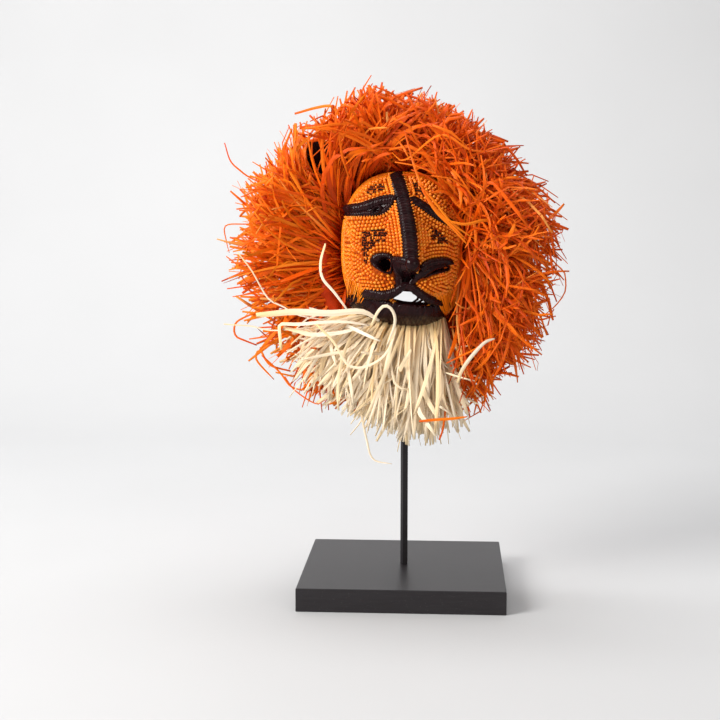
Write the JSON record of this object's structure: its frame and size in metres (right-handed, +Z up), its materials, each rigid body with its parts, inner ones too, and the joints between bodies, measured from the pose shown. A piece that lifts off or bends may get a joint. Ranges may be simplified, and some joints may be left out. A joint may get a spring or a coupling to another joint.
{
  "type": "woven mask",
  "caption": "Woven animal mask with wrapped brows, nose and lips, a wide raffia mane and a hanging raffia beard, held up from behind by a bar on a square base.",
  "frame": {"origin": "middle of the base's underside, on the surface it stands on", "axes": "+Z up along the bar, -Y the way the face looks, +X to the viewer's right"},
  "size_m": [0.3708, 0.22, 0.5449],
  "materials": {
    "base_black": "matt black paint with fine light specks",
    "stand_black": "satin black paint",
    "orange_weave": "glossy dyed palm fibre in tight coiled stitches",
    "dark_weave": "glossy dark dyed fibre windings",
    "orange_raffia": "satin dyed raffia strips",
    "natural_raffia": "undyed raffia strips"
  },
  "bodies": {
    "root": {"base": "base_black", "stand_bar": "stand_black", "cradle": "stand_black", "mask_shell": "orange_weave", "rim_roll": "orange_weave", "nose_ridge": "dark_weave", "eye_left": "dark_weave", "eye_right": "dark_weave", "upper_lip": "dark_weave", "lower_lip": "dark_weave", "nose_tip": "dark_weave", "nostril_left": "dark_weave", "nostril_right": "dark_weave", "ear_left": "dark_weave", "ear_right": "dark_weave", "mane": "orange_raffia", "beard": "natural_raffia"}
  },
  "joints": []
}
